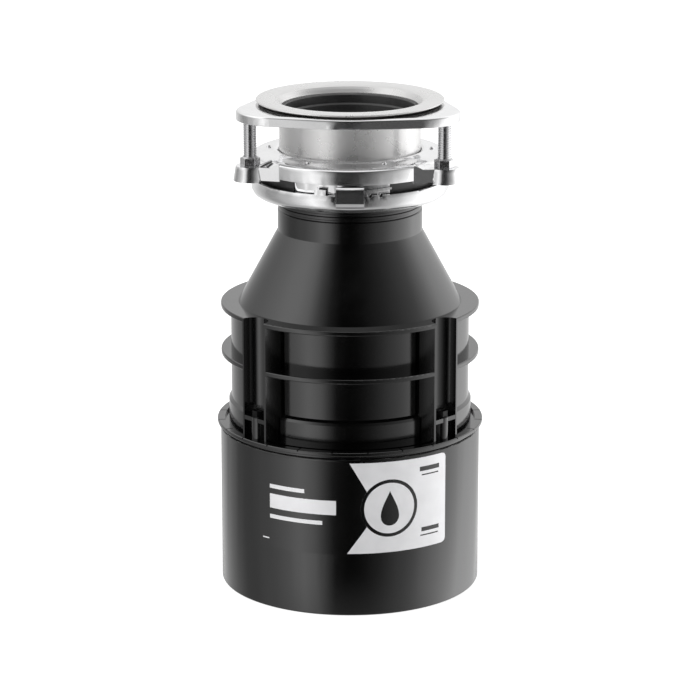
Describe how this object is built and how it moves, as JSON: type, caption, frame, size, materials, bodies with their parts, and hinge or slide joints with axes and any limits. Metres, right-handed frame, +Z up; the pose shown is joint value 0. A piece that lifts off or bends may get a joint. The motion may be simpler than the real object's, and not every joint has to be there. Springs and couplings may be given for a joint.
{
  "type": "kitchen garbage disposal",
  "caption": "Under-sink food waste disposer: black moulded hopper on a round motor canister, hung from a chromed sink flange by jacking screws and a twist-lock ring.",
  "frame": {"origin": "centre of the canister's lower rim, on the surface it stands on", "axes": "+Z up along the shaft, -Y towards the label, +Y towards the drain outlet"},
  "size_m": [0.1642, 0.1642, 0.3036],
  "materials": {
    "body_plastic": "glossy moulded black",
    "canister_enamel": "smooth black enamel",
    "mount_chrome": "bright plated",
    "flange_steel": "polished stainless",
    "screw_zinc": "zinc plated",
    "screw_black": "black oxide",
    "black_rubber": "matt",
    "gasket_fibre": "fibre",
    "grind_steel": "stamped stainless",
    "cast_metal": "cast",
    "lamination_steel": "stacked laminations",
    "winding_copper": "varnished copper",
    "bearing_bronze": "sintered bronze",
    "switch_plastic": "moulded",
    "spool_plastic": "moulded",
    "reset_red": "moulded red",
    "cover_zinc": "zinc plated",
    "ground_green": "green plated",
    "label_film": "printed film"
  },
  "bodies": {
    "housing": {"hopper": "body_plastic", "container_body": "body_plastic", "drain_panel": "body_plastic", "container_screws": "screw_black", "mounting_gasket": "black_rubber", "splash_baffle": "black_rubber", "body_seal": "black_rubber", "shredder_ring": "grind_steel", "upper_end_bell": "cast_metal", "shaft_seal": "black_rubber", "upper_bearing": "bearing_bronze", "stator_core": "lamination_steel", "stator_windings": "winding_copper", "lower_end_frame": "cast_metal", "lower_bearing": "bearing_bronze", "through_bolts": "screw_zinc", "trim_shell": "canister_enamel", "terminal_cover": "cover_zinc", "terminal_cover_screw": "screw_zinc", "ground_screw": "ground_green", "start_switch": "switch_plastic", "overload_protector": "switch_plastic", "front_label": "label_film"},
    "sink_mount": {"sink_flange": "flange_steel", "sink_gasket": "gasket_fibre", "upper_mounting_ring": "mount_chrome", "clinch_nuts": "screw_zinc", "snap_ring": "screw_zinc"},
    "backup": {"backup_flange": "mount_chrome"},
    "screw_1": {"mounting_screw_1": "screw_zinc"},
    "screw_2": {"mounting_screw_2": "screw_zinc"},
    "screw_3": {"mounting_screw_3": "screw_zinc"},
    "lock_ring": {"lower_mounting_ring": "mount_chrome"},
    "rotor": {"motor_shaft": "grind_steel", "rotor_core": "lamination_steel", "rotor_cage": "cast_metal", "shredder_disk": "grind_steel", "lug_rivets": "grind_steel", "disk_nut": "grind_steel", "slinger": "black_rubber", "thrust_washers": "switch_plastic", "actuator_base": "spool_plastic"},
    "lug_1": {"swivel_lug_1": "grind_steel"},
    "lug_2": {"swivel_lug_2": "grind_steel"},
    "spool": {"actuator_spool": "spool_plastic"},
    "lever": {"switch_lever": "switch_plastic"},
    "reset": {"reset_button": "reset_red"}
  },
  "joints": [
    {"name": "lock_ring_turn", "type": "hinge", "parent": "housing", "child": "lock_ring", "pos_m": [0, 0, 0.25], "axis": [0, 0, 1], "range_deg": [-28, 4]},
    {"name": "mount_draw", "type": "slide", "parent": "housing", "child": "sink_mount", "axis": [0, 0, 1], "range_m": [-0.00035, 0.0022]},
    {"name": "backup_travel", "type": "slide", "parent": "sink_mount", "child": "backup", "axis": [0, 0, 1], "range_m": [-0.015, 0]},
    {"name": "screw_1_travel", "type": "slide", "parent": "sink_mount", "child": "screw_1", "axis": [0, 0, 1], "range_m": [-0.015, 0]},
    {"name": "screw_2_travel", "type": "slide", "parent": "sink_mount", "child": "screw_2", "axis": [0, 0, 1], "range_m": [-0.015, 0]},
    {"name": "screw_3_travel", "type": "slide", "parent": "sink_mount", "child": "screw_3", "axis": [0, 0, 1], "range_m": [-0.015, 0]},
    {"name": "rotor_spin", "type": "hinge", "parent": "housing", "child": "rotor", "pos_m": [0, 0, 0.06], "axis": [0, 0, 1], "continuous": true},
    {"name": "lug_1_swing", "type": "hinge", "parent": "rotor", "child": "lug_1", "pos_m": [0.034, 0, 0.15], "axis": [0, 0, 1], "continuous": true},
    {"name": "lug_2_swing", "type": "hinge", "parent": "rotor", "child": "lug_2", "pos_m": [-0.034, 0, 0.15], "axis": [0, 0, 1], "continuous": true},
    {"name": "spool_slide", "type": "slide", "parent": "rotor", "child": "spool", "axis": [0, 0, 1], "range_m": [0, 0.0024]},
    {"name": "lever_swing", "type": "hinge", "parent": "housing", "child": "lever", "pos_m": [0.0335, 0, 0.0254], "axis": [0, 1, 0], "range_deg": [0, 7.5]},
    {"name": "reset_press", "type": "slide", "parent": "housing", "child": "reset", "axis": [0, 0, 1], "range_m": [-0.003, 0]}
  ],
  "couplings": [
    {"joint": "mount_draw", "follows": "lock_ring_turn", "m_per_rad": -0.0044118},
    {"joint": "screw_1_travel", "follows": "backup_travel", "ratio": 1},
    {"joint": "screw_2_travel", "follows": "backup_travel", "ratio": 1},
    {"joint": "screw_3_travel", "follows": "backup_travel", "ratio": 1},
    {"joint": "lever_swing", "follows": "spool_slide", "rad_per_m": 52}
  ]
}
